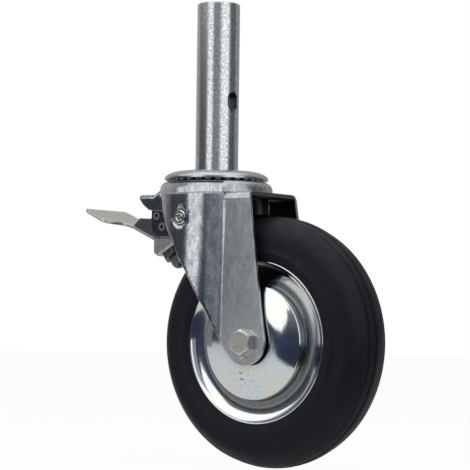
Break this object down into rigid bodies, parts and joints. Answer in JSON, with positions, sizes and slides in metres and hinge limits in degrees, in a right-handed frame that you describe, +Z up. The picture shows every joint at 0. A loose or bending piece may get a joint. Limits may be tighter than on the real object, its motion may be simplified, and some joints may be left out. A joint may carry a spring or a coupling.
{
  "type": "scaffold castor",
  "caption": "Swivel castor for a scaffold tower: tubular stem with a cross slot, pressed fork, solid rubber wheel and a foot-pedal brake.",
  "frame": {"origin": "on the swivel axis at the foot of the stem, where its tube stands on the bearing cap", "axes": "+Z up along the stem, +X towards the side on which the wheel trails, the brake pedal points to -X and the axle lies along Y"},
  "size_m": [0.2766, 0.1018, 0.3761],
  "materials": {
    "stem_zinc": "satin, hot-dip galvanised",
    "pin_steel": "turned",
    "cap_zinc": "satin, zinc plated",
    "race_steel": "turned",
    "ball_steel": "polished",
    "fork_zinc": "satin, zinc plated",
    "rivet_zinc": "satin",
    "bolt_zinc": "satin, forged",
    "nut_zinc": "satin",
    "sleeve_steel": "ground",
    "tyre_rubber": "matt moulded rubber",
    "rim_zinc": "bright zinc plated",
    "hub_steel": "turned",
    "cage_plastic": "moulded",
    "seal_plastic": "moulded",
    "pedal_zinc": "satin, zinc plated",
    "lever_zinc": "satin, zinc plated",
    "block_steel": "dull, zinc plated",
    "screw_steel": "dark"
  },
  "bodies": {
    "stem": {"stem_tube": "stem_zinc", "king_pin": "pin_steel", "bearing_cap": "cap_zinc", "spacer_sleeve": "race_steel", "lower_race": "race_steel", "lock_ring": "race_steel"},
    "fork": {"fork": "fork_zinc", "upper_balls": "ball_steel", "lower_balls": "ball_steel", "brake_pivot": "rivet_zinc", "pivot_spacers": "sleeve_steel", "axle_bolt": "bolt_zinc", "axle_washer": "nut_zinc", "axle_nut": "nut_zinc", "axle_sleeve": "sleeve_steel", "hub_washers": "sleeve_steel"},
    "wheel": {"tyre": "tyre_rubber", "rim_near": "rim_zinc", "rim_far": "rim_zinc", "hub_tube": "hub_steel", "roller_cage": "cage_plastic", "rollers": "ball_steel", "hub_seals": "seal_plastic"},
    "brake": {"brake_lever": "lever_zinc", "pedal_plate": "pedal_zinc", "pedal_rivets": "rivet_zinc", "brake_side_near": "lever_zinc", "brake_side_far": "lever_zinc", "side_rivets": "rivet_zinc", "brake_block": "block_steel", "lock_nut": "screw_steel", "adjusting_screw": "screw_steel", "lock_tooth": "block_steel"}
  },
  "joints": [
    {"name": "swivel", "type": "hinge", "parent": "stem", "child": "fork", "pos_m": [0, 0, 0], "axis": [0, 0, 1], "continuous": true},
    {"name": "wheel_spin", "type": "hinge", "parent": "fork", "child": "wheel", "pos_m": [0.0583, 0, -0.1377], "axis": [0, 1, 0], "continuous": true},
    {"name": "brake_pedal", "type": "hinge", "parent": "fork", "child": "brake", "pos_m": [-0.0011, 0, -0.0389], "axis": [0, -1, 0], "range_deg": [0, 11]}
  ]
}
